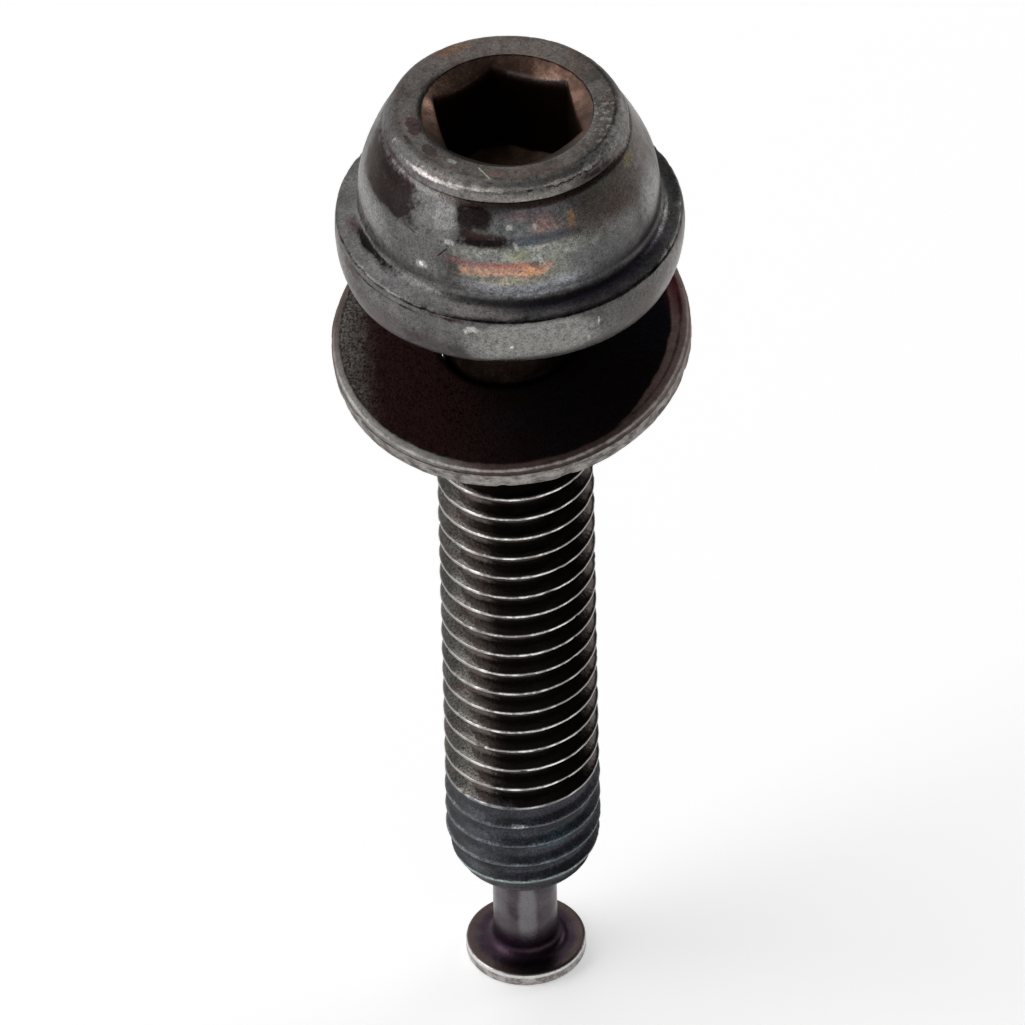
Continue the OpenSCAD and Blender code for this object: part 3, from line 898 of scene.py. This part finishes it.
def thread_steel():
    """The rolled thread: bright crests with a painted highlight at the front, smooth flanks, painted shade in
    its roots and a dry coat at its end.
    """
    p = Paint("thread_steel")
    cloud = p.noise(0.8, 5, 0.6)
    colour = p.mix(p.step(cloud, 0.35, 0.65), (64, 62, 59), (83, 81, 77))
    colour = p.over(colour, (72, 58, 52), p.step(p.noise(0.9, 5, 0.7), 0.5, 0.65), 0.5)
    colour = p.grained(colour, 0.65, 13.0)
    # Painted shade: a dark wedge under each crest, thin at the left and widening to the right, stands for the
    # shade in the roots
    climb = p.all(p.minus(p.z, THREAD_Z), 0.013)
    reach = p.step(p.sum(p.turn, climb, p.warp(0.1, 2.0)), -1.15, -0.15, -0.12, 1.1)
    root_shade = p.step(p.minus(p.given("crest"), reach), 0.05, -0.05)
    colour = p.over(colour, (50, 42, 40), root_shade, 0.76)
    # Painted highlight: pale bare crests, painted brightest at the front, with brighter beads
    crest = p.step(p.sum(p.r, p.warp(0.012, 2.5)), THREAD_R - 0.045, THREAD_R - 0.01)
    front = p.step(p.math("ABSOLUTE", p.minus(p.turn, CREST_SHEEN_TURN)), 0.45, 1.0, 1, 0)
    bead = p.step(p.noise(1.7, 4, 0.7), 0.42, 0.62)
    colour = p.over(colour, p.mix(p.all(front, bead), (146, 142, 139), (238, 237, 234)), crest)
    coat = p.given("coat")
    colour = p.over(colour, coat_colour(p), coat)
    p.fill(p.shader, {"Metallic": p.step(coat, 0.2, 0.8, 1.0, 0.4)})
    roughness = p.sum(p.step(crest, 0, 1, 0.22, 0.24), p.all(coat, 0.2))
    return p.finish(colour, roughness, p.sum(cloud, p.all(p.noise(9.0, 3), 0.35)), 0.022)


def shank_steel():
    """The plain shank: brown-black oxide."""
    p = Paint("shank_steel", edge=(70, 56, 50))
    rusty = p.step(p.noise(0.9, 5, 0.7), 0.5, 0.65)
    colour = p.grained(p.mix(rusty, (58, 45, 40), (76, 61, 52)), 0.3, 11.0)
    return p.finish(colour, p.step(p.noise(2.0, 4), 0.3, 0.7, 0.5, 0.38), p.noise(9.0, 3), 0.015)


def coat_colour(p):
    """The dried thread-locking coat: slate with blue and violet, dusty at the left, rubbed on its crests,
    painted darker at the left and lighter at the right against the light, with a painted highlight on one
    crest.
    """
    height = p.minus(p.z, THREAD_Z)
    blue = p.mix(p.step(p.noise(0.9, 4), 0.35, 0.65), (34, 34, 39), (54, 57, 64))
    blue = p.over(blue, (52, 46, 62), p.step(p.noise(0.7, 3, 0.5), 0.5, 0.62), 0.35)
    upper = p.patch(-62, THREAD_Z + 3.3, 0.9, 0.35, 0.2, 0.15)
    lower = p.patch(-55, THREAD_Z + 2.3, 0.9, 0.25, 0.2, 0.1)
    blue = p.over(blue, (66, 90, 100), p.either(upper, lower), 0.6)
    dusty = p.all(p.step(p.sum(p.x, p.warp(0.6, 1.0)), -1.2, -2.2), p.step(p.noise(6.0, 4, 0.7), 0.35, 0.65))
    blue = p.over(blue, (70, 70, 74), dusty, 0.3)
    # Painted light: darker at the left, where the left lamp lights the coat, and lighter at the right, which
    # the room leaves dim
    blue = p.tone(blue, p.step(p.x, -2.6, -0.6, 0.52, 1.32))
    crest = p.step(p.sum(p.given("crest"), p.warp(0.04, 2.5)), 0.86, 1.0)
    teal = p.step(p.sum(height, p.warp(0.5, 1.0)), 2.6, 1.2)
    worn = p.step(p.noise(1.3, 4, 0.7), 0.35, 0.58, 0.3, 0.85)
    blue = p.over(blue, p.mix(teal, (112, 115, 124), (150, 168, 164)), crest, p.either(worn, teal))
    # Painted highlight: a white glint on one crest at the front
    blue = p.over(blue, (214, 214, 214), p.patch(-92, THREAD_Z + 4.42, 0.18, 0.045, 0.05, 0.03))
    blue = p.over(blue, (56, 53, 54), p.step(height, 0.95, 0.6))
    return p.grained(p.grained(blue, 0.75, 13.0), 0.25, 4.0)


def tip_steel():
    """The neck and the clip disc: mauve-grey oxide with painted highlights down the neck, purple at the root
    darkened as painted shade, and a painted highlight round the disc's edge.
    """
    p = Paint("tip_steel")
    disc_r = TIP_DISC_D / 2
    cloud = p.noise(1.0, 5, 0.6)
    colour = p.mix(p.step(cloud, 0.3, 0.7), (64, 56, 60), (90, 84, 88))
    # Painted highlights: a pale streak down the neck's front and a fainter one at its left
    colour = p.over(colour, (124, 122, 124), p.patch(-86, 2.9, 0.34, 1.5, 0.12, 0.06), 0.8)
    colour = p.over(colour, (104, 99, 103), p.patch(-134, 3.2, 0.25, 1.2, 0.15, 0.05), 0.5)
    # Purple tint at the neck's root, darkened as painted shade in the fillet
    root = p.ring(NECK_D / 2 + 0.1, TIP_DISC_H + 0.3, 0.75, 0.4, 0.2, 1.5)
    colour = p.over(colour, (50, 33, 48), root, 0.85)
    low = p.step(p.z, TIP_DISC_H + 0.1, TIP_DISC_H + 0.05)
    colour = p.over(colour, (86, 72, 68), p.step(p.sum(p.r, p.warp(0.05, 2.0)), 1.85, 2.1), low, 0.7)
    worn = p.step(p.noise(2.0, 4, 0.7, (1, 1, 1.5)), 0.4, 0.6)
    side = p.mix(worn, (128, 119, 116), (178, 174, 171))
    colour = p.over(colour, side, p.step(p.r, disc_r - 0.07, disc_r - 0.02))
    # Painted highlight: a bright line round the disc's upper edge
    line = p.ring(disc_r - 0.02, TIP_DISC_H - TIP_DISC_ROUND, 0.07, 0.03, 0.02, 3.0)
    colour = p.over(colour, (218, 220, 218), line, 0.9)
    roughness = p.step(cloud, 0.3, 0.7, 0.38, 0.3)
    return p.finish(p.grained(colour, 0.14, 13.0), roughness, p.noise(8.0, 4), 0.012)


def washer_steel():
    """The washer: black-brown oxide darkened as painted shade under the head, a stippled grey bloom with
    painted light at the left, painted shade round the hole, and a rim with painted highlights.
    """
    p = Paint("washer_steel", washer_frame(), edge=(190, 184, 182))
    cloud = p.noise(0.5, 5, 0.6)
    stipple = p.step(p.noise(11.0, 4, 0.75), 0.38, 0.62)
    out = p.toward(WASHER_LEFT)
    left = p.step(p.sum(out, p.warp(0.4, 0.6)), 1.5, 4.0)
    ahead = p.toward(WASHER_LEFT + 90)
    # Near-black oxide, partly painted shade under the head
    colour = p.mix(p.step(cloud, 0.4, 0.6), (26, 19, 20), (23, 23, 28))
    colour = p.over(colour, p.mix(stipple, (28, 18, 18), (58, 38, 36)), p.step(out, -1.0, 3.0))
    # Stippled grey at the left: partly a bloom, partly painted light where light reaches the top past the
    # head
    near_rim = p.minus(p.r, p.step(ahead, 0, 5, 0, 1.5))
    bloom_and_light = p.step(p.sum(near_rim, p.warp(0.3, 0.9), p.warp(0.2, 4.0)), 4.9, 6.5)
    colour = p.over(colour, p.mix(stipple, (48, 42, 41), (118, 115, 111)), bloom_and_light, left)
    # Painted shade: darker round the hole, where the washer meets the shank
    colour = p.over(colour, (20, 15, 15), p.step(p.r, 3.15, 2.95))
    colour = washer_rim(p, colour, left, ahead)
    colour = p.grained(p.grained(colour, 0.16, 12.0), 0.12, 4.0)
    roughness = p.step(cloud, 0.3, 0.7, 0.45, 0.34)
    return p.finish(colour, roughness, p.sum(stipple, p.noise(12.0, 3)), 0.01)


def washer_rim(p, colour, left, ahead):
    """The washer's rolled edge and its side: brown round the back and at the right, with painted highlights
    ahead and painted shade round the back of the side.
    """
    outer = WASHER_D / 2
    half = WASHER_T / 2
    right = p.step(p.toward(WASHER_RIGHT), 3.0, 5.5)
    # Painted light: the rolled edge is painted lighter ahead, where the light falls
    lit = p.step(ahead, -2.0, 2.5, 0.12, 1)
    rolled = p.step(p.sum(p.r, p.all(right, 0.35), p.warp(0.05, 1.6)), outer - 0.4, outer - 0.28)
    brown = p.mix(right, (88, 72, 68), (138, 118, 112))
    colour = p.over(colour, p.mix(p.all(left, lit), brown, (134, 132, 129)), rolled, 0.85)
    maroon = p.all(p.step(p.toward(WASHER_RIGHT + 20), 5.2, 6.4), p.step(p.r, 5.8, 6.3))
    colour = p.over(colour, (86, 42, 48), maroon, p.step(p.r, outer - 0.2, outer - 0.3))
    colour = p.over(colour, (30, 22, 22), p.ring(outer - 0.36, half, 0.035, 0.03, 0.03, 2.0), 0.6)
    edge = p.all(p.step(p.z, half - 0.28, half - 0.34), p.step(p.r, outer - 0.2, outer - 0.12))
    streaks = p.step(p.noise(2.2, 4, 0.65, (1, 1, 2.0)), 0.35, 0.6)
    # Painted shade: the side darkens round the back
    side = p.tone(p.mix(streaks, (104, 100, 97), (164, 161, 157)), p.step(ahead, -2.0, 2.5, 0.3, 1))
    colour = p.over(colour, side, edge)
    # Painted highlight: a broken bright line along the rolled edge, ahead
    bright = p.ring(outer - 0.09, half - 0.13, 0.05, 0.03, 0.03, 2.5)
    broken = p.step(p.noise(1.0, 4), 0.35, 0.55, 0.3, 0.9)
    colour = p.over(colour, (178, 175, 171), bright, lit, broken)
    return p.over(colour, (40, 32, 30), p.ring(outer - 0.01, half - 0.3, 0.035, 0.03, 0.02, 3.0), 0.8)


def floor_white():
    """A white floor that keeps the object's shadow."""
    material = bpy.data.materials.new("floor_white")
    material.use_nodes = True
    tree = Nodes(material.node_tree)
    path = tree.new("LightPath")
    seen = tree.either(path.outputs["Is Camera Ray"], path.outputs["Is Glossy Ray"])
    tree.fill(tree.nodes["Principled BSDF"], {
        "Base Color": FLOOR_COLOUR,
        "Roughness": 0.9,
        "Specular IOR Level": 0,
        "Emission Color": WHITE,
        "Emission Strength": tree.all(seen, FLOOR_GLOW),
    })
    return material


def dress(bolt, washer):
    """Gives the skins their materials, by place on the bolt, and each point its shares of coat and crest."""
    places = np.array([v.co for v in bolt.data.vertices]) / MM
    for name, share in (("coat", coat_depth), ("crest", crest_share)):
        values = bolt.data.attributes.new(name, "FLOAT", "POINT")
        values.data.foreach_set("value", share(places).astype(np.float32))
    for steel in (tip_steel(), thread_steel(), shank_steel(), head_steel(), socket_steel()):
        bolt.data.materials.append(steel)
    tops = (THREAD_Z - 0.01, FACE_Z - SHANK_LEN, FACE_Z - 0.2)
    for face in bolt.data.polygons:
        z = face.center.z / MM
        zone = sum(z > top for top in tops)
        from_socket = math.hypot(face.center.x, face.center.y - SOCKET_SHIFT * MM) / MM
        inside = zone == len(tops) and from_socket < COUNTERSINK_D / 2 and z < TOP_Z - 0.005
        face.material_index = zone + 1 if inside else zone
    washer.data.materials.append(washer_steel())


# Light, in strengths at which a colour renders about as written
FLOOR_GLOW = 0.45
DARK_CEILING = 0.115
WHITE = (1, 1, 1, 1)
FLOOR_COLOUR = (0.9, 0.9, 0.9, 1)
FLOOR_SIZE = 1.6
# Softboxes: a name, a place, a size and a power
SOFTBOXES = [
    ("left_softbox", (-0.35, -0.05, 0.2), 0.3, 0.5),
    ("right_softbox", (0.3, 0.25, 0.2), 0.15, 0.2),
]
# The room that the steel mirrors: a direction, the cosines from which and to which the light towards it
# changes, and its strengths before and after
CEILING = (0.4, -0.8, 0.45), 0.29, 0.4, 1, DARK_CEILING
HORIZON = (0, 0, 1), 0.12, 0.35, 1, 0
BACK_RIGHT = (0.7, 0.62, 0.36), 0.74, 0.85, 1, DARK_CEILING
RIGHT_WALL = (1, 0.2, 0.1), 0.2, 0.7, 1, 0.3


def studio_world():
    """White behind the object, but for the steel a room that is dimmer above the camera and at the right."""
    world = bpy.data.worlds.new("studio")
    bpy.context.scene.world = world
    world.use_nodes = True
    tree = Nodes(world.node_tree)
    way = tree.new("TexCoord").outputs["Generated"]
    straight = tree.new("LightPath").outputs["Is Camera Ray"]
    parts = []
    for direction, low, high, start, end in (CEILING, HORIZON, BACK_RIGHT, RIGHT_WALL):
        share = tree.vector("DOT_PRODUCT", way, Vector(direction).normalized())
        parts.append(tree.step(share, low, high, start, end))
    ceiling, horizon, back_right, right_wall = parts
    room = tree.all(tree.either(ceiling, horizon), back_right, right_wall)
    tree.fill(tree.nodes["Background"], {"Color": WHITE, "Strength": tree.either(straight, room)})


def softbox(name, place, size, power):
    """A square lamp that faces the bolt's middle."""
    data = bpy.data.lights.new(name, "AREA")
    data.size = size
    data.energy = power
    lamp = put_in_scene(name, data)
    lamp.location = place
    aim = Vector((0, 0, FACE_Z / 2 * MM)) - Vector(place)
    lamp.rotation_euler = aim.to_track_quat("-Z", "Y").to_euler()


def make_floor():
    """The floor that the bolt stands on."""
    data = bpy.data.meshes.new("floor")
    half = FLOOR_SIZE / 2
    corners = [(-half, -half, 0), (half, -half, 0), (half, half, 0), (-half, half, 0)]
    data.from_pydata(corners, [], [(0, 1, 2, 3)])
    data.materials.append(floor_white())
    put_in_scene("floor", data)


# The photograph's camera: where it looks, from what side and how it is turned
VIEW_TARGET = Vector((0, 0, 15.4)) * MM
VIEW_ELEVATION = 42.43
VIEW_ROLL = -1.3
VIEW_DISTANCE = 603 * MM
LENS = 549.8
SENSOR = 36
# The picture's centre, seen from the target, along the picture's right and up
AIM_RIGHT = -0.2747 * MM
AIM_UP = 5.489 * MM


def make_camera():
    """A long lens that looks down on the bolt from the front."""
    elevation = math.radians(VIEW_ELEVATION)
    roll = math.radians(VIEW_ROLL)
    back = Vector((0, -math.cos(elevation), math.sin(elevation)))
    level = Vector((1, 0, 0))
    upward = back.cross(level)
    right = level * math.cos(roll) + upward * math.sin(roll)
    up = upward * math.cos(roll) - level * math.sin(roll)
    place = VIEW_TARGET + back * VIEW_DISTANCE
    aim = VIEW_TARGET + right * AIM_RIGHT + up * AIM_UP
    look = (place - aim).normalized()
    side = up.cross(look).normalized()
    turn = Matrix((side, look.cross(side), look)).transposed()
    data = bpy.data.cameras.new("camera")
    data.lens = LENS
    data.sensor_width = SENSOR
    data.clip_start = 0.05
    data.clip_end = 10
    camera = put_in_scene("camera", data)
    camera.matrix_world = Matrix.Translation(place) @ turn.to_4x4()
    bpy.context.scene.camera = camera


bolt = make_bolt()
washer = make_washer()
dress(bolt, washer)
for piece, body, slot in ((bolt, "bolt", "dark_steel"), (washer, "washer", "washer_steel")):
    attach(piece, body)
    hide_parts(body)

studio_world()
for box in SOFTBOXES:
    softbox(*box)
make_floor()
make_camera()
bpy.context.scene.view_settings.view_transform = "Standard"
